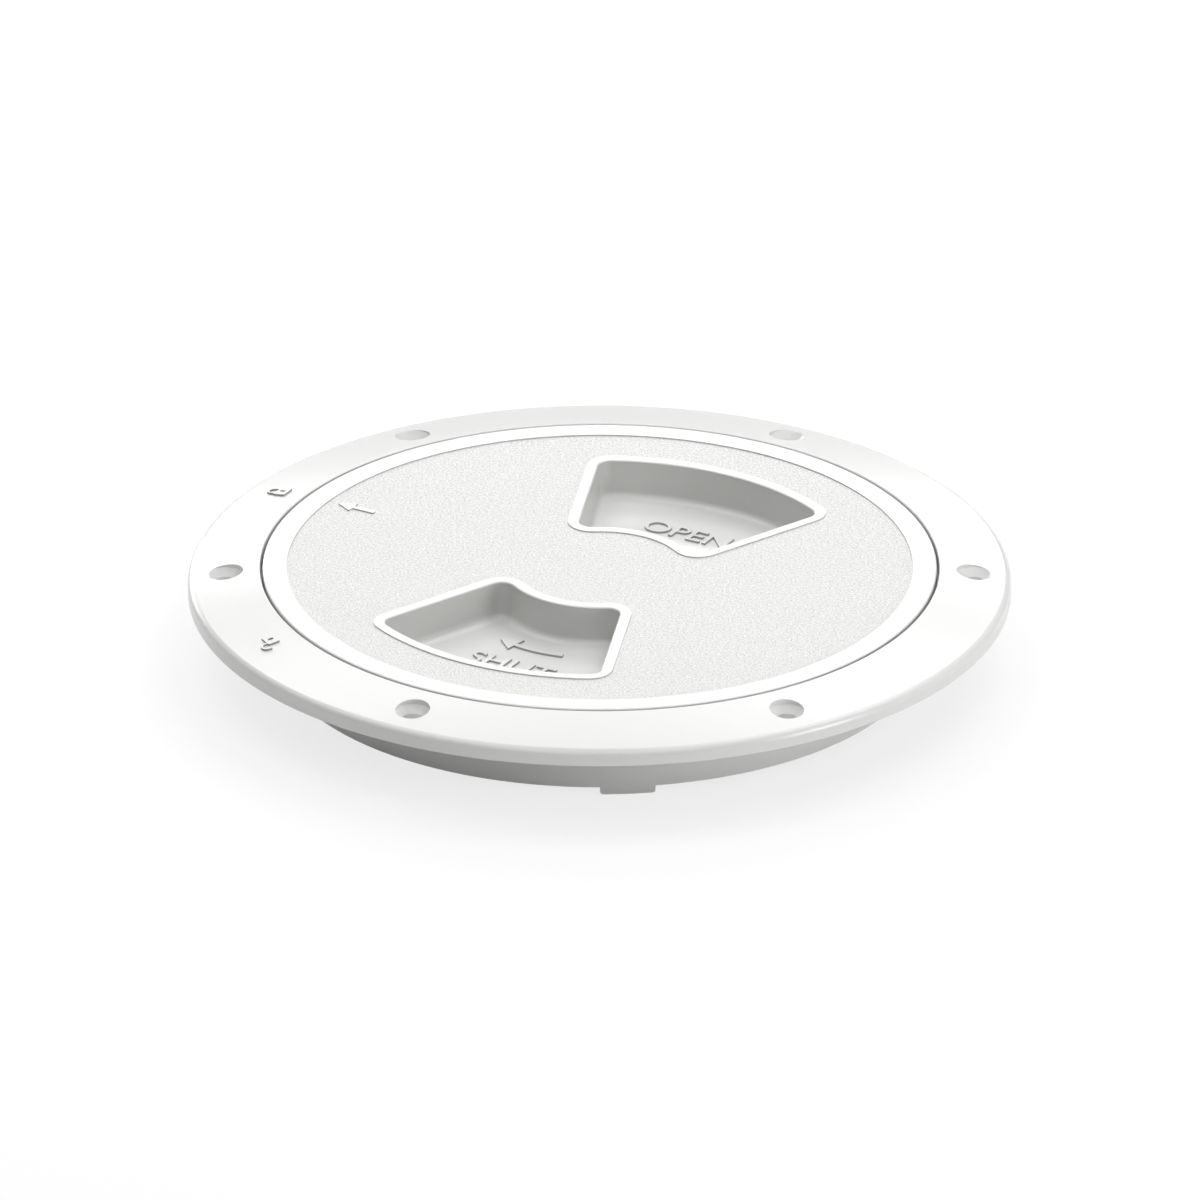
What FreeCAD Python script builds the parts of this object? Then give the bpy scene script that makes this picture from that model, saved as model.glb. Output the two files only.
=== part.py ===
# Deck inspection plate: a ring that is screwed down round a hole in the deck, a lid that locks in it with
# part of a turn, and the rubber seal between them.
#
# Millimetres. The origin is the centre of the flange face that lies on the deck, and +Z points up out of
# the deck. The lid is modelled shut. Azimuths are counter-clockwise from +X, seen from above.

import FreeCAD, Part
import math
import os
import re

import Sketcher

# Driving dimensions: name, value, what it is.
DRIVING = [
    # Ring, above the deck
    ("flange_width", 17.75, "domed flange, outside the recess that takes the lid's rim"),
    ("top_height", 6.9, "top of the flange's inner edge and of the lid, above the deck"),
    ("edge_height", 3.84, "outer edge of the dome, above the deck"),
    ("flange_edge_round", 1.85, "rounding of the flange's outer edge"),
    ("flange_wall", 2.4, "moulded wall under the dome and at the flange's edge"),
    ("mouth_step", 4.05, "from the barrel's outside to the wall of the recess"),
    ("mouth_round", 0.35, "rounding of the recess's upper edge"),
    ("ledge_height", 2.7, "floor of that recess, above the deck"),
    # Ring, through the deck
    ("bore_radius", 76.8, "inside of the barrel, a 6 inch opening"),
    ("barrel_wall", 2.9, "wall of the barrel, whose outside fits the hole in the deck"),
    ("barrel_depth", 15.9, "barrel below the deck's surface"),
    ("bore_lead", 0.8, "chamfer that leads the seal into the bore"),
    ("tab_count", 4, "tabs under the barrel, and bayonet lugs above them"),
    ("tab_azimuth", 275.0, "middle of one tab"),
    ("tab_angle", 9.9, "width of a tab and of a lug"),
    ("tab_drop", 1.9, "tab below the barrel's edge"),
    ("tab_round", 0.8, "rounding of a tab's lower corners"),
    # Screws and the cored underside of the flange
    ("screw_count", 6, "countersunk holes"),
    ("screw_inset", 8.45, "from the wall of the recess to the circle through the holes"),
    ("screw_hole_radius", 2.5, "clearance hole for a screw of nearly 5 mm"),
    ("screw_head_radius", 4.3, "countersink for the screw's head"),
    ("screw_head_recess", 0.65, "straight wall between the dome and that countersink"),
    ("countersink_angle", 90.0, "included angle of the countersink"),
    ("boss_radius", 5.4, "solid boss round each hole"),
    ("seat_width", 6.5, "solid seat between the barrel and the cores under the flange"),
    ("flange_rib_count", 24, "ribs between the cores"),
    ("flange_rib_width", 1.8, "width of such a rib"),
    # Bayonet
    ("turn_angle", 57.5, "turn of the lid from shut to open"),
    ("turn_rise", 2.5, "how far that turn lifts the lid"),
    ("lug_depth", 2.8, "lug inwards from the bore"),
    ("lug_height", 3.2, "thickness of a lug"),
    ("lug_under", -8.9, "underside of the lug's middle"),
    ("ramp_height", 2.6, "thickness of a ramp"),
    ("ramp_clearance", 0.2, "between the ramp and the lug above it"),
    ("entry_clearance", 3.5, "angle between the lug and the ramp when the lid is open"),
    ("stop_clearance", 0.6, "angle between the lug and the stop when the lid is shut"),
    ("stop_angle", 3.0, "width of the stop at the ramp's end"),
    ("stop_height", 2.2, "stop above its ramp"),
    # Lid
    ("rim_gap", 0.6, "between the lid's rim and the ring"),
    ("rim_rest", 0.4, "between the lid's rim and the ledge below it"),
    ("rim_round", 0.5, "rounding of the rim's upper edge"),
    ("rim_width", 5.95, "smooth rim round the textured face"),
    ("face_recess", 0.35, "textured face below the rim"),
    ("face_wall", 2.8, "thickness of the face"),
    ("skirt_gap", 0.6, "between the skirt and the bore, and between the neck and the lugs"),
    ("skirt_wall", 2.4, "wall of the skirt's neck"),
    ("skirt_under", -14.8, "lower edge of the skirt"),
    ("shoulder_gap", 1.0, "between the skirt's shoulder and the lugs"),
    ("lid_rib_count", 12, "ribs under the face"),
    ("lid_rib_width", 1.8, "width of such a rib"),
    ("lid_rib_height", 3.6, "height of such a rib"),
    ("hub_radius", 9.0, "hub where those ribs meet"),
    # Seal
    ("seal_cord", 3.5, "diameter of the seal's cord"),
    ("seal_height", -0.5, "middle of the seal"),
    ("seal_squeeze_gap", 0.15, "between the seal and what it seals against, on each side"),
    ("groove_side_gap", 0.35, "between the seal and the sides of its groove"),
    # Finger pockets
    ("pocket_count", 2, "pockets in the lid"),
    ("pocket_azimuth", 60.0, "centre line of one pocket"),
    ("pocket_outer_radius", 62.2, "outer arc of the pocket's mouth"),
    ("pocket_inner_radius", 23.8, "inner arc of the pocket's mouth"),
    ("pocket_flare", 21.8, "angle between a straight side and the centre line"),
    ("pocket_side_offset", 8.8, "from the lid's centre to a straight side's line"),
    ("pocket_corner", 3.2, "rounding of the mouth's corners"),
    ("pocket_depth", 9.9, "floor below the rim"),
    ("pocket_draft", 2.0, "draft of the pocket's walls"),
    ("pocket_floor_round", 2.6, "rounding between walls and floor"),
    ("pocket_lip_round", 0.6, "rounding of the mouth's edge"),
    ("pocket_trim", 2.9, "smooth raised border of the mouth"),
    ("well_wall", 2.4, "wall round the pocket, under the face"),
    ("well_floor", 2.4, "wall below the pocket's floor"),
    ("well_round", 1.5, "rounding under the pocket"),
]

doc = FreeCAD.newDocument("deck_inspection_plate")
sheet = doc.addObject("Spreadsheet::Sheet", "Sizes")
for row, (name, number, note) in enumerate(DRIVING, start=1):
    sheet.set(f"A{row}", name)
    sheet.set(f"B{row}", str(number))
    sheet.setAlias(f"B{row}", name)
    sheet.set(f"C{row}", note)
doc.recompute()

NAMES = {name for name, number, note in DRIVING}

# Sizes that follow from the driving ones, as formulas
BARREL = "(bore_radius + barrel_wall)"
MOUTH = f"({BARREL} + mouth_step)"
FLANGE = f"({MOUTH} + flange_width)"
DOME_SPAN = f"({FLANGE} ^ 2 + edge_height ^ 2 - {MOUTH} ^ 2 - top_height ^ 2)"
DOME_CENTRE = f"({DOME_SPAN} / 2 / (edge_height - top_height))"
DOME_RADIUS = f"sqrt({MOUTH} ^ 2 + (top_height - {DOME_CENTRE}) ^ 2)"
SCREW_CIRCLE = f"({MOUTH} + screw_inset)"
CORE_INNER = f"({BARREL} + seat_width)"
CORE_OUTER = f"({FLANGE} - flange_wall)"
LUG_TIP = "(bore_radius - lug_depth)"
RIM = f"({MOUTH} - rim_gap)"
RIM_UNDER = "(ledge_height + rim_rest)"
FACE = f"({RIM} - rim_width)"
FACE_TOP = "(top_height - face_recess)"
FACE_UNDER = f"({FACE_TOP} - face_wall)"
SKIRT = "(bore_radius - skirt_gap)"
NECK = f"({LUG_TIP} - skirt_gap)"
SKIRT_INSIDE = f"({NECK} - skirt_wall)"
SHOULDER = "(lug_under + lug_height + shoulder_gap)"
GROOVE = "(bore_radius - seal_cord - 2 * seal_squeeze_gap)"
GROOVE_HALF = "(seal_cord / 2 + groove_side_gap)"
LEAD = "(turn_rise * 360 / turn_angle)"


def with_sheet(formula):
    """The formula with the sheet's name before each of its sizes, for use in other objects."""
    return re.sub(r"[a-z_]+", lambda word: f"Sizes.{word[0]}" if word[0] in NAMES else word[0], formula)


def value(formula):
    """The number that a formula gives."""
    return float(sheet.evalExpression(formula))


def bind(thing, **formulas):
    """Ties properties of an object to formulas."""
    for name, formula in formulas.items():
        thing.setExpression(name, with_sheet(formula))


def new_body(label):
    body = doc.addObject("PartDesign::Body", label)
    body.Label = label
    return body


def origin_part(body, role):
    """A plane or an axis of a body's own origin."""
    return next(part for part in body.Origin.OriginFeatures if part.Role == role)


def new_sketch(body, name, plane, axis, height, azimuth):
    """A sketch on an origin plane, lifted to a height and turned about the vertical to an azimuth."""
    sketch = body.newObject("Sketcher::SketchObject", name)
    sketch.AttachmentSupport = [(origin_part(body, plane), "")]
    sketch.MapMode = "FlatFace"
    turn = FreeCAD.Rotation(axis, value(azimuth))
    sketch.AttachmentOffset = FreeCAD.Placement(FreeCAD.Vector(0, 0, value(height)), turn)
    sketch.setExpression("AttachmentOffset.Base.z", with_sheet(height))
    sketch.setExpression("AttachmentOffset.Rotation.Angle", with_sheet(azimuth))
    return sketch


def section_sketch(body, name, azimuth="0"):
    """A sketch in the upright half plane at an azimuth: radius across, height up."""
    return new_sketch(body, name, "XZ_Plane", FreeCAD.Vector(0, 1, 0), "0", azimuth)


def plan_sketch(body, name, height="0", azimuth="0"):
    """A level sketch, with its first axis along an azimuth."""
    return new_sketch(body, name, "XY_Plane", FreeCAD.Vector(0, 0, 1), height, azimuth)


def constrain(sketch, formula, *constraint):
    """Adds a constraint whose value is a formula."""
    number = sketch.addConstraint(Sketcher.Constraint(*constraint, value(formula)))
    sketch.setExpression(f"Constraints[{number}]", with_sheet(formula))


def arc_between(start, end, radius):
    """The arc that goes counter-clockwise about its centre from one point to the other."""
    chord = end - start
    left = FreeCAD.Vector(-chord.y, chord.x, 0).normalize()
    centre = (start + end) / 2 + left * math.sqrt(radius**2 - (chord.Length / 2) ** 2)
    circle = Part.Circle(centre, FreeCAD.Vector(0, 0, 1), radius)
    angles = [math.atan2(point.y - centre.y, point.x - centre.x) for point in (start, end)]
    return Part.ArcOfCircle(circle, *angles)


def place(sketch, geometry, point, across, up):
    """Ties a point of the sketch to its two coordinates."""
    for formula, axis, kind in ((across, -2, "DistanceX"), (up, -1, "DistanceY")):
        if formula == "0":
            sketch.addConstraint(Sketcher.Constraint("PointOnObject", geometry, point, axis))
        else:
            constrain(sketch, formula, kind, -1, 1, geometry, point)


def outline(sketch, corners, arc_from=None, arc_radius=None):
    """A closed outline, counter-clockwise through corners given as pairs of formulas. It is straight from
    corner to corner, but for the arc from one of them."""
    points = [FreeCAD.Vector(value(across), value(up), 0) for across, up in corners]
    for number, start in enumerate(points):
        end = points[(number + 1) % len(points)]
        if number == arc_from:
            sketch.addGeometry(arc_between(start, end, value(arc_radius)), False)
        else:
            sketch.addGeometry(Part.LineSegment(start, end), False)
    for number, corner in enumerate(corners):
        sketch.addConstraint(Sketcher.Constraint("Coincident", number, 2, (number + 1) % len(corners), 1))
        place(sketch, number, 1, *corner)
    if arc_from is not None:
        constrain(sketch, arc_radius, "Radius", arc_from)


def round_outline(sketch, across, up, radius):
    centre = FreeCAD.Vector(value(across), value(up), 0)
    sketch.addGeometry(Part.Circle(centre, FreeCAD.Vector(0, 0, 1), value(radius)), False)
    place(sketch, 0, 3, across, up)
    constrain(sketch, radius, "Radius", 0)


def hold_angle(sketch, line, angle):
    """Ties the direction of a line of the sketch to a formula in degrees."""
    number = sketch.addConstraint(Sketcher.Constraint("Angle", line, math.radians(value(angle))))
    sketch.setExpression(f"Constraints[{number}]", with_sheet(f"{angle} * 1 deg"))


def sector_outline(sketch, inner, outer, angle):
    """A sector of a ring, centred on the sketch's first axis."""
    half = math.radians(value(angle)) / 2
    up = FreeCAD.Vector(0, 0, 1)
    origin = FreeCAD.Vector()

    def at(radius, turn):
        return FreeCAD.Vector(radius * math.cos(turn), radius * math.sin(turn), 0)

    for radius in (value(inner), value(outer)):
        sketch.addGeometry(Part.ArcOfCircle(Part.Circle(origin, up, radius), -half, half), False)
    for turn in (-half, half):
        sketch.addGeometry(Part.LineSegment(at(value(inner), turn), at(value(outer), turn)), False)
    for arc, radius in ((0, inner), (1, outer)):
        sketch.addConstraint(Sketcher.Constraint("Coincident", arc, 3, -1, 1))
        constrain(sketch, radius, "Radius", arc)
    for line, arc_end, turn in ((2, 1, f"-{angle} / 2"), (3, 2, f"{angle} / 2")):
        sketch.addConstraint(Sketcher.Constraint("Coincident", line, 1, 0, arc_end))
        sketch.addConstraint(Sketcher.Constraint("Coincident", line, 2, 1, arc_end))
        hold_angle(sketch, line, turn)
        sketch.addConstraint(Sketcher.Constraint("PointOnObject", -1, 1, line))


def fan_outline(sketch, grow):
    """The mouth of a finger pocket, grown all round: two arcs about the lid's centre, two straight sides that
    flare from the centre line, which is the sketch's first axis, and four rounded corners."""
    outer = f"(pocket_outer_radius + {grow})"
    inner = f"(pocket_inner_radius - {grow})"
    offset = f"(pocket_side_offset + {grow})"
    corner = f"(pocket_corner + {grow})"
    flare = math.radians(value("pocket_flare"))
    along = FreeCAD.Vector(math.cos(flare), math.sin(flare), 0)
    across = FreeCAD.Vector(-math.sin(flare), math.cos(flare), 0)
    inset = value(f"{offset} - {corner}")
    outer_centre = across * inset + along * math.sqrt(value(f"{outer} - {corner}") ** 2 - inset**2)
    inner_centre = across * inset + along * math.sqrt(value(f"{inner} + {corner}") ** 2 - inset**2)
    outer_angle = math.atan2(outer_centre.y, outer_centre.x)
    inner_angle = math.atan2(inner_centre.y, inner_centre.x)
    side_angle = flare + math.pi / 2
    up = FreeCAD.Vector(0, 0, 1)
    origin = FreeCAD.Vector()

    def mirrored(point):
        return FreeCAD.Vector(point.x, -point.y, 0)

    def corner_arc(centre, first, last):
        return Part.ArcOfCircle(Part.Circle(centre, up, value(corner)), first, last)

    side = [centre + across * value(corner) for centre in (inner_centre, outer_centre)]
    sketch.addGeometry(
        [
            Part.ArcOfCircle(Part.Circle(origin, up, value(outer)), -outer_angle, outer_angle),
            corner_arc(outer_centre, outer_angle, side_angle),
            Part.LineSegment(*side),
            corner_arc(inner_centre, side_angle, math.pi + inner_angle),
            Part.ArcOfCircle(Part.Circle(origin, up, value(inner)), -inner_angle, inner_angle),
            corner_arc(mirrored(inner_centre), math.pi - inner_angle, 2 * math.pi - side_angle),
            Part.LineSegment(*map(mirrored, side)),
            corner_arc(mirrored(outer_centre), 2 * math.pi - side_angle, 2 * math.pi - outer_angle),
        ],
        False,
    )
    joints = [(0, 2, 1, 1), (1, 2, 2, 2), (2, 1, 3, 1), (3, 2, 4, 2)]
    joints += [(4, 1, 5, 1), (5, 2, 6, 1), (6, 2, 7, 1), (7, 2, 0, 1)]
    for joint in joints:
        sketch.addConstraint(Sketcher.Constraint("Tangent", *joint))
    for arc, radius in ((0, outer), (4, inner)):
        sketch.addConstraint(Sketcher.Constraint("Coincident", arc, 3, -1, 1))
        constrain(sketch, radius, "Radius", arc)
    constrain(sketch, corner, "Radius", 1)
    for other in (3, 5, 7):
        sketch.addConstraint(Sketcher.Constraint("Equal", 1, other))
    for line, angle in ((2, "pocket_flare"), (6, "-pocket_flare")):
        hold_angle(sketch, line, angle)
        constrain(sketch, offset, "Distance", -1, 1, line)


def revolved(body, name, sketch, kind="Revolution"):
    feature = body.newObject(f"PartDesign::{kind}", name)
    feature.Profile = sketch
    feature.ReferenceAxis = (sketch, ["V_Axis"])
    feature.Angle = 360
    return feature


def extruded(body, name, sketch, length, up, kind="Pad", draft="0"):
    """A pad or pocket from its sketch, up or down, narrowing by the draft."""
    feature = body.newObject(f"PartDesign::{kind}", name)
    feature.Profile = sketch
    feature.Reversed = up if kind == "Pocket" else not up
    bind(feature, Length=length, TaperAngle=f"-{draft}")
    return feature


def pattern(body, name, features, count):
    feature = body.newObject("PartDesign::PolarPattern", name)
    feature.Originals = features
    feature.Axis = (origin_part(body, "Z_Axis"), [""])
    feature.Angle = 360
    bind(feature, Occurrences=count)
    body.Tip = feature
    return feature


def rounded(body, name, base, radius, chosen, kind="Fillet"):
    """Rounds or chamfers the edges of the base feature that the test chooses."""
    doc.recompute()
    edges = [f"Edge{number}" for number, edge in enumerate(base.Shape.Edges, start=1) if chosen(edge)]
    feature = body.newObject(f"PartDesign::{kind}", name)
    feature.Base = (base, edges)
    bind(feature, **{"Radius" if kind == "Fillet" else "Size": radius})
    return feature


def is_ring(edge, radius, height):
    """Whether an edge lies on the level circle of that radius and height."""
    box = edge.BoundBox
    level = abs(box.ZMin - value(height)) < 0.001 and abs(box.ZMax - value(height)) < 0.001
    middle = edge.valueAt((edge.FirstParameter + edge.LastParameter) / 2)
    return level and abs(math.hypot(middle.x, middle.y) - value(radius)) < 0.001


def dome(radius, below="0"):
    """Height at a radius of the domed top, a shallow sphere, or of the surface that lies so far below it."""
    return f"({DOME_CENTRE} + sqrt(({DOME_RADIUS} - {below}) ^ 2 - {radius} ^ 2))"


def helical_bar(body, name, start, sweep, low, high, inner, outer):
    """A bar of rectangular section that climbs counter-clockwise with the bayonet's lead."""
    sketch = section_sketch(body, name + "_section", start)
    outline(sketch, [(inner, low), (outer, low), (outer, high), (inner, high)])
    bar = body.newObject("PartDesign::AdditiveHelix", name)
    bar.Profile = sketch
    bar.ReferenceAxis = (sketch, ["V_Axis"])
    bar.Mode = "pitch-turns-angle"
    bind(bar, Pitch=LEAD, Turns=f"({sweep}) / 360")
    return bar


def make_flange_cores():
    """The hollows under the flange: a channel that follows the dome, broken by bosses and ribs."""
    body = new_body("flange_cores")
    body.AllowCompound = True
    reach = "top_height"
    low = f"-{reach}"
    section = section_sketch(body, "core_section")
    corners = [(CORE_INNER, low), (CORE_OUTER, low)]
    corners += [(radius, dome(radius, "flange_wall")) for radius in (CORE_OUTER, CORE_INNER)]
    outline(section, corners, 2, f"{DOME_RADIUS} - flange_wall")
    revolved(body, "core_ring", section)
    boss = plan_sketch(body, "boss_outline", low)
    round_outline(boss, SCREW_CIRCLE, "0", "boss_radius")
    boss_gap = extruded(body, "boss_gap", boss, f"2 * {reach}", True, "Pocket")
    pattern(body, "boss_gaps", [boss_gap], "screw_count")
    rib = plan_sketch(body, "flange_rib_outline", low)
    half = "flange_rib_width / 2"
    inner, outer = f"({CORE_INNER} - flange_wall)", f"({CORE_OUTER} + flange_wall)"
    outline(rib, [(inner, f"-{half}"), (outer, f"-{half}"), (outer, half), (inner, half)])
    rib_gap = extruded(body, "rib_gap", rib, f"2 * {reach}", True, "Pocket")
    pattern(body, "rib_gaps", [rib_gap], "flange_rib_count")
    return body


def make_deck_ring():
    """One moulding: domed flange, recess for the lid, barrel with bayonet lugs inside and tabs below."""
    body = new_body("deck_ring")
    between_holes = "180 / screw_count + 180 / flange_rib_count"
    section = section_sketch(body, "ring_section", between_holes)
    corners = [
        ("bore_radius", "-barrel_depth"),
        (BARREL, "-barrel_depth"),
        (BARREL, "0"),
        (FLANGE, "0"),
        (FLANGE, "edge_height"),
        (MOUTH, "top_height"),
        (MOUTH, "ledge_height"),
        ("bore_radius", "ledge_height"),
    ]
    outline(section, corners, 4, DOME_RADIUS)
    revolved(body, "ring_turned", section)

    tab = plan_sketch(body, "tab_outline", "-barrel_depth", "tab_azimuth")
    sector_outline(tab, "bore_radius", BARREL, "tab_angle")
    tab_pad = extruded(body, "tab", tab, "tab_drop", False)
    half = "tab_angle / 2"
    under = f"(lug_under - {LEAD} * {half} / 360)"
    into_wall = "(bore_radius + barrel_wall / 2)"
    start = f"tab_azimuth - {half}"
    lug = helical_bar(body, "lug", start, "tab_angle", under, f"{under} + lug_height", LUG_TIP, into_wall)
    lugs = pattern(body, "tabs_and_lugs", [tab_pad, lug], "tab_count")

    doc.recompute()
    cores = make_flange_cores()
    hollowed = body.newObject("PartDesign::Boolean", "flange_hollows")
    hollowed.Type = "Cut"
    hollowed.addObjects([cores])
    body.Tip = hollowed

    # The first hole is the one after +X: on +X itself its seam would lie in the dome's plane of symmetry
    head = plan_sketch(body, "screw_outline", "top_height", "360 / screw_count")
    round_outline(head, SCREW_CIRCLE, "0", "screw_hole_radius")
    doc.recompute()
    hole = body.newObject("PartDesign::Hole", "screw_hole")
    hole.Profile = head
    doc.recompute()
    hole.ThreadType = "None"
    hole.DepthType = "Dimension"
    hole.DrillPoint = "Flat"
    hole.HoleCutType = "Counterdrill"
    above_dome = f"(top_height - {dome(SCREW_CIRCLE)})"
    bind(hole, Diameter="2 * screw_hole_radius", Depth="2 * top_height")
    bind(hole, HoleCutDiameter="2 * screw_head_radius", HoleCutDepth=f"{above_dome} + screw_head_recess")
    bind(hole, HoleCutCountersinkAngle="countersink_angle")
    holes = pattern(body, "screw_holes", [hole], "screw_count")

    def at_flange_edge(edge):
        return is_ring(edge, FLANGE, "edge_height")

    def at_mouth(edge):
        return is_ring(edge, MOUTH, "top_height")

    def at_bore(edge):
        return is_ring(edge, "bore_radius", "ledge_height")

    def at_tab_corner(edge):
        box = edge.BoundBox
        lowest = abs(box.ZMax + value("barrel_depth + tab_drop")) < 0.001
        return lowest and edge.Curve.TypeId == "Part::GeomLine"

    edge_round = rounded(body, "flange_edge", holes, "flange_edge_round", at_flange_edge)
    mouth_round = rounded(body, "mouth_edge", edge_round, "mouth_round", at_mouth)
    lead_in = rounded(body, "bore_edge", mouth_round, "bore_lead", at_bore, "Chamfer")
    rounded(body, "tab_corners", lead_in, "tab_round", at_tab_corner)
    return body


def make_lid():
    """One moulding: rim, recessed face, skirt with seal groove, finger pockets, ribs and bayonet ramps."""
    body = new_body("lid")
    section = section_sketch(body, "lid_section")
    corners = [
        ("0", FACE_UNDER),
        (SKIRT_INSIDE, FACE_UNDER),
        (SKIRT_INSIDE, "skirt_under"),
        (NECK, "skirt_under"),
        (NECK, SHOULDER),
        (SKIRT, SHOULDER),
        (SKIRT, f"seal_height - {GROOVE_HALF}"),
        (GROOVE, f"seal_height - {GROOVE_HALF}"),
        (GROOVE, f"seal_height + {GROOVE_HALF}"),
        (SKIRT, f"seal_height + {GROOVE_HALF}"),
        (SKIRT, RIM_UNDER),
        (RIM, RIM_UNDER),
        (RIM, "top_height"),
        (FACE, "top_height"),
        (FACE, FACE_TOP),
        ("0", FACE_TOP),
    ]
    outline(section, corners)
    revolved(body, "lid_turned", section)

    rib = plan_sketch(body, "lid_rib_outline", f"{FACE_UNDER} - lid_rib_height")
    half = "lid_rib_width / 2"
    inner, outer = "hub_radius / 2", f"({SKIRT_INSIDE} + {GROOVE}) / 2"
    outline(rib, [(inner, f"-{half}"), (outer, f"-{half}"), (outer, half), (inner, half)])
    rib_pad = extruded(body, "lid_rib", rib, "lid_rib_height + face_wall / 2", True)
    pattern(body, "lid_ribs", [rib_pad], "lid_rib_count")
    hub = plan_sketch(body, "hub_outline", f"{FACE_UNDER} - lid_rib_height")
    round_outline(hub, "0", "0", "hub_radius")
    extruded(body, "hub", hub, "lid_rib_height + face_wall / 2", True)

    features = []
    shapes = [
        ("trim", "pocket_trim", "face_recess + face_wall / 2", "Pad", "0"),
        ("well", "well_wall", "pocket_depth + well_floor", "Pad", "pocket_draft"),
        ("pocket", "0", "pocket_depth", "Pocket", "pocket_draft"),
    ]
    for name, grow, depth, kind, draft in shapes:
        fan = plan_sketch(body, f"{name}_outline", "top_height", "pocket_azimuth")
        fan_outline(fan, grow)
        features.append(extruded(body, name, fan, depth, False, kind, draft))
    pockets = pattern(body, "pockets", features, "pocket_count")

    before = "(turn_angle - tab_angle / 2 - entry_clearance)"
    to_stop = "(tab_angle / 2 + stop_clearance)"
    top = f"(lug_under - ramp_clearance - {LEAD} * {before} / 360)"
    start = f"tab_azimuth - {before}"
    sweep = f"{before} + {to_stop} + stop_angle"
    into_neck = f"({NECK} - skirt_wall / 2)"
    ramp = helical_bar(body, "ramp", start, sweep, f"{top} - ramp_height", top, into_neck, SKIRT)
    stop_low = f"(lug_under - ramp_clearance + {LEAD} * {to_stop} / 360 - ramp_height / 2)"
    stop = plan_sketch(body, "stop_outline", stop_low, f"tab_azimuth + {to_stop}")
    stop_reach, stop_side = f"({SKIRT} - ramp_clearance)", f"{NECK} * tan(stop_angle) / 2"
    outline(stop, [(into_neck, "0"), (stop_reach, "0"), (stop_reach, stop_side), (into_neck, stop_side)])
    stop_pad = extruded(body, "stop", stop, "stop_height + ramp_height / 2", True)
    ramps = pattern(body, "ramps_and_stops", [ramp, stop_pad], "tab_count")

    floor_height = "top_height - pocket_depth"
    well_height = f"{floor_height} - well_floor"

    def level_at(edge, height):
        return max(abs(edge.BoundBox.ZMin - value(height)), abs(edge.BoundBox.ZMax - value(height))) < 0.001

    floor = rounded(body, "pocket_floors", ramps, "pocket_floor_round", lambda e: level_at(e, floor_height))
    under = rounded(body, "well_edges", floor, "well_round", lambda e: level_at(e, well_height))

    def at_mouth(edge):
        return is_ring(edge, "pocket_outer_radius", "top_height")

    def at_rim(edge):
        return is_ring(edge, RIM, "top_height")

    lip = rounded(body, "pocket_lips", under, "pocket_lip_round", at_mouth)
    rounded(body, "rim_edge", lip, "rim_round", at_rim)
    return body


def make_seal():
    """The rubber ring in the lid's groove."""
    seal = doc.addObject("Part::Torus", "o_ring")
    seal.Label = "o_ring"
    bind(seal, Radius1="bore_radius - seal_squeeze_gap - seal_cord / 2", Radius2="seal_cord / 2")
    seal.setExpression("Placement.Base.z", with_sheet("seal_height"))
    return seal


subparts = [make_deck_ring(), make_lid(), make_seal()]
doc.recompute()

for thing in doc.Objects:
    if "Invalid" in thing.State or "Error" in thing.State:
        raise RuntimeError(f"{thing.Label} failed: {thing.State}")
for cut in doc.findObjects("PartDesign::Hole") + doc.findObjects("PartDesign::Pocket"):
    if cut.Shape.Volume >= cut.BaseFeature.Shape.Volume - 1:
        raise RuntimeError(f"{cut.Label} cuts nothing")
for part in subparts:
    if part.Shape.isNull() or not part.Shape.isValid() or len(part.Shape.Solids) != 1:
        raise RuntimeError(f"{part.Label} is not one sound solid")

os.makedirs("parts", exist_ok=True)
for part in subparts:
    part.Shape.exportStep(f"parts/{part.Label}.step")
    box = part.Shape.optimalBoundingBox(False)
    size = " x ".join(f"{length:.2f}" for length in (box.XLength, box.YLength, box.ZLength))
    print(f"{part.Label}: {part.Shape.Volume / 1000:.1f} cubic cm, {size} mm, {len(part.Shape.Faces)} faces")
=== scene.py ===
import bpy
import math
import numpy as np
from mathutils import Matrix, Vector


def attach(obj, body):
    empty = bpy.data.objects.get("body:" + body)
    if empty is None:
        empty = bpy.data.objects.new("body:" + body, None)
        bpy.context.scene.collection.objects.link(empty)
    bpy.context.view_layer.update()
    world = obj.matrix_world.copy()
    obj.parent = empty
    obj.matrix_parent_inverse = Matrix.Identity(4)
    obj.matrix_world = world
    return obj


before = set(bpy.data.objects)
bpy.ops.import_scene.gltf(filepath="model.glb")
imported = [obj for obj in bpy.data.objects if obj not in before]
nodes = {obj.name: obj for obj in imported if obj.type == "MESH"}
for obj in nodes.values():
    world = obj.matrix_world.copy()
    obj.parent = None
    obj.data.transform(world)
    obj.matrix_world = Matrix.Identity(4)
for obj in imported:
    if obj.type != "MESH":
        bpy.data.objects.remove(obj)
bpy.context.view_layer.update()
print("frame loaded:", sorted(nodes))

mm = 0.001

# the plate's own sizes in millimetres, as in the CAD model: z = 0 is the deck, +z is up
plate = {
    "flangeRadius": 101.5,
    "mouthRadius": 83.75,
    "topHeight": 6.9,
    "flangeEdgeHeight": 3.84,
    "faceHeight": 6.55,
    "pocketFloor": -3.0,
    "lowestPoint": -17.8,
}


# camera: orthographic, as the photograph is, 25 degrees above the deck and looking along +Y;
# pixel is in millimetres, and originAt is where the plate's origin stands in the 1200 x 1200 frame
cameraView = {
    "elevation": 25.0,
    "pixel": 0.2465,
    "frame": 1200,
    "originAt": (599.7, 592.3),
    "distance": 900.0,
    "clip": (0.01, 10),
}


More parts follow.
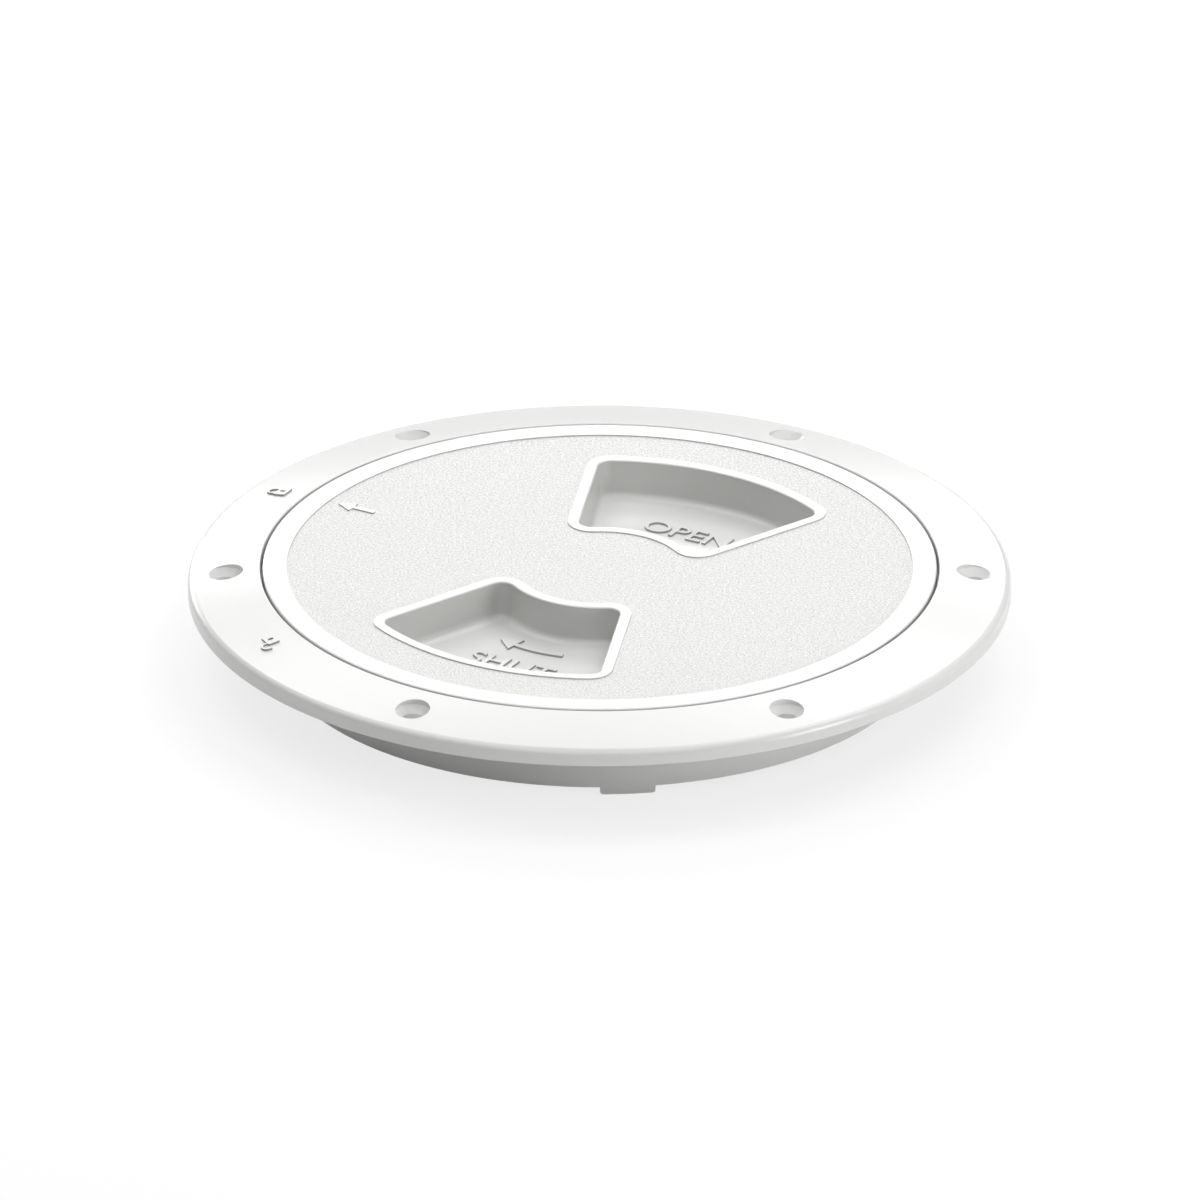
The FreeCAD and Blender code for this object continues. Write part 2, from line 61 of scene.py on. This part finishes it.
def makeCamera():
    # back along the line of sight by the distance, then across and up until the origin falls on its pixel
    s = cameraView
    tilt = math.radians(s["elevation"])
    back = Vector((0, -math.cos(tilt), math.sin(tilt)))
    up = Vector((0, math.sin(tilt), math.cos(tilt)))
    across = (s["frame"] / 2 - s["originAt"][0]) * s["pixel"] * mm
    rise = (s["originAt"][1] - s["frame"] / 2) * s["pixel"] * mm
    data = bpy.data.cameras.new("photoCamera")
    data.type = "ORTHO"
    data.ortho_scale = s["frame"] * s["pixel"] * mm
    data.clip_start, data.clip_end = s["clip"]
    camera = bpy.data.objects.new("photoCamera", data)
    bpy.context.scene.collection.objects.link(camera)
    camera.rotation_mode = "QUATERNION"
    camera.rotation_quaternion = (-back).to_track_quat("-Z", "Y")
    camera.location = Vector((across, 0, 0)) + up * rise + back * s["distance"] * mm
    bpy.context.scene.camera = camera


makeCamera()
print("camera placed")


def linear(hexColour):
    # sRGB hex to the linear colour that the shaders use
    out = []
    for i in (0, 2, 4):
        c = int(hexColour.lstrip("#")[i : i + 2], 16) / 255
        out.append(c / 12.92 if c <= 0.04045 else ((c + 0.055) / 1.055) ** 2.4)
    return (*out, 1.0)


def addNode(tree, kind, settings=None, links=None):
    # one node: settings by attribute name or by input name, links as {input: output socket}
    node = tree.nodes.new("ShaderNode" + kind)
    for key, value in (settings or {}).items():
        if isinstance(key, str) and hasattr(node, key):
            setattr(node, key, value)
        else:
            node.inputs[key].default_value = value
    for key, socket in (links or {}).items():
        tree.links.new(socket, node.inputs[key])
    return node


def newMaterial(name):
    material = bpy.data.materials.new(name)
    material.use_nodes = True
    tree = material.node_tree
    tree.nodes.clear()
    return material, tree, addNode(tree, "OutputMaterial")


# ASA, injection moulded in a polished mould: a clean satin gloss, with a faint waviness from shrinkage.
# The real part is one white throughout. Upright walls and the flanks of raised marks are given a painted shade, a
# darker colour, so that they stand out as in the photograph; upright is by the size of the normal's z, from none to all
mouldedPlastic = {
    "colour": "#E4E4E3",
    "roughness": 0.25,
    "ior": 1.52,
    "waveMm": 26.0,
    "waveDepthMm": 0.012,
    "waveDetail": 1.0,
    # painted shade: the darker colours that upright walls and the flanks of marks are given
    "wall": "#C6C6C4",
    "paintedFlankShade": "#A4A4A2",
    "upright": (0.85, 0.35),
}

# the lid's face, where the mould was spark eroded: pits about half a millimetre apart and no gloss.
# The eye sees the pits a shade darker, since they shadow themselves; this is painted into the colour, as painted shade
# in the pits and painted light on the peaks, paler than the plain plastic
sparkErosion = {
    "roughness": 0.62,
    "grainMm": 0.5,
    "grainDepthMm": 0.16,
    "grainDetail": 3.0,
    "grainRoughness": 0.6,
    "grainRange": (0.33, 0.67),
    "paintedPitShade": "#C6C6C4",
    "paintedPeakLight": "#F6F6F5",
    "toleranceMm": 0.02,
}


def makeMouldedAsa(name, grained, upright):
    # grained adds the spark eroded face, only where z is the face's height;
    # upright is the colour of the painted shade on upright walls, or None where they look as the rest does
    s, g = mouldedPlastic, sparkErosion
    material, tree, out = newMaterial(name)
    coords = addNode(tree, "TexCoord").outputs
    place = coords["Object"]
    waveScale = {"Scale": 1 / (s["waveMm"] * mm), "Detail": s["waveDetail"]}
    wave = addNode(tree, "TexNoise", waveScale, {"Vector": place})
    waveDepth = {"Strength": 1.0, "Distance": s["waveDepthMm"] * mm}
    relief = addNode(tree, "Bump", waveDepth, {"Height": wave.outputs["Fac"]})
    finish = {"Base Color": linear(s["colour"]), "Roughness": s["roughness"], "IOR": s["ior"]}
    shader = addNode(tree, "BsdfPrincipled", finish)
    if grained:
        height = addNode(tree, "SeparateXYZ", links={0: place}).outputs["Z"]
        offFace = addNode(tree, "Math", {"operation": "SUBTRACT", 1: plate["faceHeight"] * mm}, {0: height})
        away = addNode(tree, "Math", {"operation": "ABSOLUTE"}, {0: offFace.outputs[0]})
        near = {"operation": "LESS_THAN", 1: g["toleranceMm"] * mm}
        onFace = addNode(tree, "Math", near, {0: away.outputs[0]}).outputs[0]
        grainScale = {"Scale": 1 / (g["grainMm"] * mm), "Detail": g["grainDetail"], "Roughness": g["grainRoughness"]}
        grain = addNode(tree, "TexNoise", grainScale, {"Vector": place})
        grainOnFace = addNode(tree, "Math", {"operation": "MULTIPLY"}, {0: grain.outputs["Fac"], 1: onFace})
        grainDepth = {"Strength": 1.0, "Distance": g["grainDepthMm"] * mm}
        grainLinks = {"Height": grainOnFace.outputs[0], "Normal": relief.outputs["Normal"]}
        relief = addNode(tree, "Bump", grainDepth, grainLinks)
        gloss = addNode(tree, "MapRange", {"To Min": s["roughness"], "To Max": g["roughness"]}, {"Value": onFace})
        tree.links.new(gloss.outputs[0], shader.inputs["Roughness"])
        # painted shade in the pits and painted light on the peaks, from the same noise that makes the bump
        low, high = g["grainRange"]
        depth = addNode(tree, "MapRange", {"From Min": low, "From Max": high}, {"Value": grain.outputs["Fac"]})
        paintedGrainColours = {"data_type": "RGBA", 6: linear(g["paintedPitShade"]), 7: linear(g["paintedPeakLight"])}
        pits = addNode(tree, "Mix", paintedGrainColours, {0: depth.outputs[0]})
        smooth = {"data_type": "RGBA", 6: linear(s["colour"])}
        tint = addNode(tree, "Mix", smooth, {0: onFace, 7: pits.outputs[2]})
        tree.links.new(tint.outputs[2], shader.inputs["Base Color"])
    # painted shade: faces darken towards the upright colour as their normal's z falls from the first of the range to
    # the second
    if upright:
        lean = addNode(tree, "SeparateXYZ", links={0: coords["Normal"]}).outputs["Z"]
        level = addNode(tree, "Math", {"operation": "ABSOLUTE"}, {0: lean}).outputs[0]
        start, full = s["upright"]
        paintedShadeMask = addNode(tree, "MapRange", {"From Min": start, "From Max": full}, {"Value": level}).outputs[0]
        wallColours = {"data_type": "RGBA", 6: linear(s["colour"]), 7: linear(upright)}
        shaded = addNode(tree, "Mix", wallColours, {0: paintedShadeMask})
        if grained:
            tree.links.new(tint.outputs[2], shaded.inputs[6])
        tree.links.new(shaded.outputs[2], shader.inputs["Base Color"])
    tree.links.new(relief.outputs["Normal"], shader.inputs["Normal"])
    tree.links.new(shader.outputs[0], out.inputs["Surface"])
    return material


# nitrile rubber, moulded: black, nearly matte, with a soft grazing sheen from its waxy bloom;
# mottle makes the roughness vary by spread either way
sealRubber = {
    "colour": "#191919",
    "roughness": 0.62,
    "spread": 0.1,
    "ior": 1.52,
    "mottleMm": 3.0,
    "mottleDetail": 4.0,
    "sheen": 0.15,
    "sheenRoughness": 0.5,
}


def makeNitrile():
    s = sealRubber
    material, tree, out = newMaterial("nitrileRubber")
    place = addNode(tree, "TexCoord").outputs["Object"]
    mottleScale = {"Scale": 1 / (s["mottleMm"] * mm), "Detail": s["mottleDetail"]}
    mottle = addNode(tree, "TexNoise", mottleScale, {"Vector": place})
    limits = {"To Min": s["roughness"] - s["spread"], "To Max": s["roughness"] + s["spread"]}
    gloss = addNode(tree, "MapRange", limits, {"Value": mottle.outputs["Fac"]})
    finish = {
        "Base Color": linear(s["colour"]),
        "IOR": s["ior"],
        "Sheen Weight": s["sheen"],
        "Sheen Roughness": s["sheenRoughness"],
    }
    shader = addNode(tree, "BsdfPrincipled", finish, {"Roughness": gloss.outputs[0]})
    tree.links.new(shader.outputs[0], out.inputs["Surface"])
    return material


plainAsa = makeMouldedAsa("mouldedAsa", False, None)
# the marks' material has painted shade on their flanks; the lid's has painted shade on its upright walls, and painted
# shade and light in its grain
markAsaPaintedShade = makeMouldedAsa("mouldedAsaMarkPaintedShade", False, mouldedPlastic["paintedFlankShade"])
grainedAsaPaintedShade = makeMouldedAsa("sparkErodedAsaPaintedShade", True, mouldedPlastic["wall"])
nitrile = makeNitrile()
for name, material in (("deck_ring", plainAsa), ("lid", grainedAsaPaintedShade), ("o_ring", nitrile)):
    nodes[name].data.materials.clear()
    nodes[name].data.materials.append(material)
print("materials made")


def floorLevel(x, y):
    # flat, at the height of the pocket floors
    return np.full_like(x, plate["pocketFloor"])


def faceLevel(x, y):
    # flat, at the height of the lid's face
    return np.full_like(x, plate["faceHeight"])


def flangeLevel(x, y):
    # part of a sphere centred on the axis, through the mouth's edge and the flange's edge
    f, m, t, h = plate["flangeRadius"], plate["mouthRadius"], plate["topHeight"], plate["flangeEdgeHeight"]
    centre = (f * f + h * h - m * m - t * t) / (2 * (h - t))
    radius = np.hypot(x, y)
    return centre + np.sqrt(m * m + (t - centre) ** 2 - radius * radius)


def arc(radius, start, end, steps=24):
    # points on a circle about the origin, angles in degrees
    a = np.radians(np.linspace(start, end, steps))
    return np.stack([radius * np.cos(a), radius * np.sin(a)], 1)


def outlineCurve(name, loops):
    # flat curve of closed straight-sided loops in millimetres; a loop inside another is a hole
    curve = bpy.data.curves.new(name, "CURVE")
    curve.dimensions = "2D"
    curve.fill_mode = "BOTH"
    for loop in loops:
        spline = curve.splines.new("POLY")
        spline.points.add(len(loop) - 1)
        spline.points.foreach_set("co", np.column_stack([loop, np.zeros(len(loop)), np.ones(len(loop))]).ravel())
        spline.use_cyclic_u = True
    return curve


# raised marks, moulded with their surface: the surface's height at x, y and how far a mark stands out of it,
# then how far the mesh goes on below it, the curve's thickness before it is fitted, and the round of its edge
markSurfaces = {"floor": (floorLevel, 0.55), "face": (faceLevel, 0.34), "flange": (flangeLevel, 0.5)}
markShape = {"rooted": 0.12, "thickness": 0.5, "round": 0.03, "roundSteps": 1, "sharpAngle": 32}


def raisedMark(name, curve, size, place, turn, surface, body):
    # a flat curve or word, raised and slightly rounded at its upper edge, laid on one of the plate's surfaces:
    # the outline is scaled to size, turned and moved in plan, then each point is lifted to the surface
    s = markShape
    level, stands = markSurfaces[surface]
    curve.extrude = s["thickness"] / 2
    curve.bevel_depth = s["round"]
    curve.bevel_resolution = s["roundSteps"]
    holder = bpy.data.objects.new(name + "Curve", curve)
    bpy.context.scene.collection.objects.link(holder)
    bpy.context.view_layer.update()
    mesh = bpy.data.meshes.new_from_object(holder.evaluated_get(bpy.context.evaluated_depsgraph_get()))
    bpy.data.objects.remove(holder)
    xyz = np.empty(len(mesh.vertices) * 3)
    mesh.vertices.foreach_get("co", xyz)
    xyz = xyz.reshape(-1, 3)
    low, high = xyz.min(0), xyz.max(0)
    if size is not None:
        xyz[:, :2] = (xyz[:, :2] - low[:2]) / (high[:2] - low[:2]) * size
    angle = math.radians(turn)
    x = place[0] + xyz[:, 0] * math.cos(angle) - xyz[:, 1] * math.sin(angle)
    y = place[1] + xyz[:, 0] * math.sin(angle) + xyz[:, 1] * math.cos(angle)
    share = (xyz[:, 2] - low[2]) / (high[2] - low[2])
    z = level(x, y) - s["rooted"] + share * (stands + s["rooted"])
    mesh.vertices.foreach_set("co", (np.stack([x, y, z], 1) * mm).ravel())
    mesh.name = name
    mesh.shade_smooth()
    mesh.set_sharp_from_angle(angle=math.radians(s["sharpAngle"]))
    mesh.materials.clear()
    # the marks' flanks get painted shade from this material
    mesh.materials.append(markAsaPaintedShade)
    mark = bpy.data.objects.new(name, mesh)
    bpy.context.scene.collection.objects.link(mark)
    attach(mark, body)


# words on the pocket floors, both read along 30 degrees clockwise of +X;
# along is where a word starts and ends on its line, out how far the line is from the lid's centre
words = {
    "turn": -30.0,
    "fontSize": 8.0,
    "capHeight": 6.0,
    "open": {"along": (-12.9, 10.5), "out": 42.2},
    "shut": {"along": (-12.1, 10.9), "out": -45.7},
}


def makeWord(text, where):
    # the line's point at the given length along and out, turned with the word; the word fills its length and height
    curve = bpy.data.curves.new(text.lower() + "Word", "FONT")
    curve.body = text
    curve.size = words["fontSize"]
    angle = math.radians(words["turn"])
    start, end = where["along"]
    x = start * math.cos(angle) - where["out"] * math.sin(angle)
    y = start * math.sin(angle) + where["out"] * math.cos(angle)
    size = (end - start, words["capHeight"])
    raisedMark(text.lower() + "_word", curve, size, (x, y), words["turn"], "floor", "lid")


makeWord("OPEN", words["open"])
makeWord("SHUT", words["shut"])

# curved arrows on the pocket floors: shaft on a circle about the lid's centre, a plain triangle for a head;
# radii in millimetres, then each arrow's azimuth at its tail, its neck and its tip
turnArrow = {"inner": 31.9, "outer": 33.2, "headInner": 29.2, "headOuter": 35.5, "tip": 32.6}
turnArrows = {"shut_arrow": (253.8, 230.4, 221.6), "open_arrow": (46.2, 69.6, 78.4)}


def makeTurnArrow(name, tail, neck, tip):
    # out along the outer arc, round the three corners of the head, back along the inner arc
    s = turnArrow
    loop = [arc(s["outer"], tail, neck), arc(s["headOuter"], neck, neck, 1), arc(s["tip"], tip, tip, 1)]
    loop += [arc(s["headInner"], neck, neck, 1), arc(s["inner"], neck, tail)]
    raisedMark(name, outlineCurve(name, [np.concatenate(loop)]), None, (0, 0), 0, "floor", "lid")


for name, azimuths in turnArrows.items():
    makeTurnArrow(name, *azimuths)

# straight arrow on the lid's face, pointing out to the padlocks; lengths along its radius, half widths across it
faceArrow = {"azimuth": 150.0, "tail": 64.2, "neck": 70.1, "tip": 74.3, "shaft": 0.6, "head": 2.2}


def makeFaceArrow():
    # seven corners in a frame whose x runs out along the radius
    s = faceArrow
    loop = np.array([
        (s["tail"], -s["shaft"]), (s["neck"], -s["shaft"]), (s["neck"], -s["head"]), (s["tip"], 0),
        (s["neck"], s["head"]), (s["neck"], s["shaft"]), (s["tail"], s["shaft"]),
    ])
    raisedMark("face_arrow", outlineCurve("face_arrow", [loop]), None, (0, 0), s["azimuth"], "face", "lid")


makeFaceArrow()

# padlocks on the flange, shackle outwards: closed where the lid's arrow points when shut, open where it points
# when open; leg is the straight part of the shackle, and shift how far it is swung over to one side
padlock = {
    "width": 4.1,
    "bodyTall": 3.1,
    "corner": 0.35,
    "cornerSteps": 5,
    "shackle": 1.3,
    "wire": 0.5,
    "bowSteps": 17,
    "sunk": 0.2,
    "slot": (0.9, 1.4),
}
padlocks = {
    "closed": {"azimuth": 149.75, "radius": 90.45, "leg": 1.1, "shift": 0.0},
    "open": {"azimuth": 206.6, "radius": 90.75, "leg": 0.6, "shift": -2.5},
}


def makePadlock(kind):
    # local frame: x across, y outwards; the shackle is a half ring on two legs, swung over one leg when open
    s, at = padlock, padlocks[kind]
    w, t, c = s["width"] / 2, s["bodyTall"] / 2, s["corner"]
    corners = [(w - c, t - c, 0), (c - w, t - c, 90), (c - w, c - t, 180), (w - c, c - t, 270)]
    shell = np.concatenate([arc(c, a, a + 90, s["cornerSteps"]) + (x, y) for x, y, a in corners])
    outer, inner = s["shackle"] + s["wire"] / 2, s["shackle"] - s["wire"] / 2
    bow = (at["shift"], t + at["leg"])
    foot = t - s["sunk"]
    farFoot = t if at["shift"] else foot
    ring = np.concatenate([
        [(bow[0] + outer, foot)], arc(outer, 0, 180, s["bowSteps"]) + bow, [(bow[0] - outer, farFoot)],
        [(bow[0] - inner, farFoot)], arc(inner, 180, 0, s["bowSteps"]) + bow, [(bow[0] + inner, foot)],
    ])
    sx, sy = s["slot"][0] / 2, s["slot"][1] / 2
    slot = np.array([(-sx, -sy), (-sx, sy), (sx, sy), (sx, -sy)])
    turn = at["azimuth"] - 90
    centre = arc(at["radius"], at["azimuth"], at["azimuth"], 1)[0]
    for part, loops in (("body", [shell, slot]), ("shackle", [ring])):
        name = f"{kind}_padlock_{part}"
        raisedMark(name, outlineCurve(name, loops), None, centre, turn, "flange", "ring")


makePadlock("closed")
makePadlock("open")
print("marks raised")


# floor and sky: a pale floor that the camera and reflections see as nearly white, glow being the part that
# shines and the rest the part that takes the shadow; the sky is dim, a little brighter overhead than at its rim
studio = {
    "floorSize": 6.0,
    "floorGap": 0.1,
    "floorColour": "#DADADA",
    "glow": 0.75,
    "skyTop": 0.06,
    "skyRim": 0.04,
    "skyTopFrom": 0.8,
    "distance": 1.2,
}

# softboxes: three high ones, two behind for the pocket walls and the far flange, two low ones for the barrel
# and the edge, and one underneath that only the underside sees; each by its azimuth and elevation in degrees,
# its width and height in metres and its power in watts
softboxes = {
    "highRight": (30, 62, 0.8, 0.8, 5.6),
    "highLeft": (165, 62, 0.8, 0.8, 4.2),
    "highFront": (-90, 54, 1.2, 0.9, 4.8),
    "farPanel": (90, 41, 1.0, 0.3, 4.0),
    "farStrip": (90, 20, 0.8, 0.15, 2.8),
    "lowRight": (-30, 10, 0.4, 0.4, 4.8),
    "lowBehind": (120, 10, 0.4, 0.4, 3.0),
    "underneath": (90, -50, 0.6, 0.6, 3.0),
}


def makeFloor():
    half = studio["floorSize"] / 2
    z = (plate["lowestPoint"] - studio["floorGap"]) * mm
    mesh = bpy.data.meshes.new("floor")
    mesh.from_pydata([(-half, -half, z), (half, -half, z), (half, half, z), (-half, half, z)], [], [(0, 1, 2, 3)])
    floor = bpy.data.objects.new("floor", mesh)
    bpy.context.scene.collection.objects.link(floor)
    material, tree, out = newMaterial("paleFloor")
    ray = addNode(tree, "LightPath").outputs
    seenBy = {0: ray["Is Camera Ray"], 1: ray["Is Glossy Ray"]}
    seen = addNode(tree, "Math", {"operation": "MAXIMUM"}, seenBy).outputs[0]
    grey = addNode(tree, "BsdfDiffuse", {"Color": linear(studio["floorColour"])})
    white = addNode(tree, "BsdfDiffuse", {"Color": (1, 1, 1, 1)})
    glow = addNode(tree, "Emission", {"Color": (1, 1, 1, 1), "Strength": 1.0})
    shown = addNode(tree, "MixShader", {0: studio["glow"]}, {1: white.outputs[0], 2: glow.outputs[0]})
    mixed = addNode(tree, "MixShader", links={0: seen, 1: grey.outputs[0], 2: shown.outputs[0]})
    # from below, and for the light of the lamp down there, the floor is clear, so that the underside can be looked at
    below = addNode(tree, "NewGeometry").outputs["Backfacing"]
    through = addNode(tree, "Math", {"operation": "MAXIMUM"}, {0: below, 1: ray["Is Shadow Ray"]}).outputs[0]
    clear = addNode(tree, "BsdfTransparent")
    surface = addNode(tree, "MixShader", links={0: through, 1: mixed.outputs[0], 2: clear.outputs[0]})
    tree.links.new(surface.outputs[0], out.inputs["Surface"])
    mesh.materials.append(material)


def makeSky():
    # the camera sees plain white, and the plate is lit from the rim's strength up to the top's
    world = bpy.data.worlds.new("studioSky")
    world.use_nodes = True
    tree = world.node_tree
    tree.nodes.clear()
    out = addNode(tree, "OutputWorld")
    ray = addNode(tree, "LightPath").outputs["Is Camera Ray"]
    direction = addNode(tree, "TexCoord").outputs["Generated"]
    up = addNode(tree, "SeparateXYZ", links={0: direction}).outputs["Z"]
    limits = {"From Min": 0.0, "From Max": studio["skyTopFrom"], "To Min": studio["skyRim"], "To Max": studio["skyTop"]}
    level = addNode(tree, "MapRange", limits, {"Value": up})
    sky = addNode(tree, "Background", {"Color": (1, 1, 1, 1)}, {"Strength": level.outputs[0]})
    white = addNode(tree, "Background", {"Color": (1, 1, 1, 1), "Strength": 1.0})
    mixed = addNode(tree, "MixShader", links={0: ray, 1: sky.outputs[0], 2: white.outputs[0]})
    tree.links.new(mixed.outputs[0], out.inputs["Surface"])
    bpy.context.scene.world = world


def makeSoftbox(name, azimuth, elevation, width, height, power):
    # a flat panel at the studio's distance, facing the plate
    a, e = math.radians(azimuth), math.radians(elevation)
    place = Vector((math.cos(e) * math.cos(a), math.cos(e) * math.sin(a), math.sin(e))) * studio["distance"]
    data = bpy.data.lights.new(name, "AREA")
    data.shape = "RECTANGLE"
    data.size, data.size_y = width, height
    data.energy = power
    lamp = bpy.data.objects.new(name, data)
    lamp.location = place
    lamp.rotation_mode = "QUATERNION"
    lamp.rotation_quaternion = (-place).to_track_quat("-Z", "Y")
    bpy.context.scene.collection.objects.link(lamp)


makeFloor()
makeSky()
for name, settings in softboxes.items():
    makeSoftbox(name, *settings)
bpy.context.scene.view_settings.view_transform = "Standard"
print("studio lit")
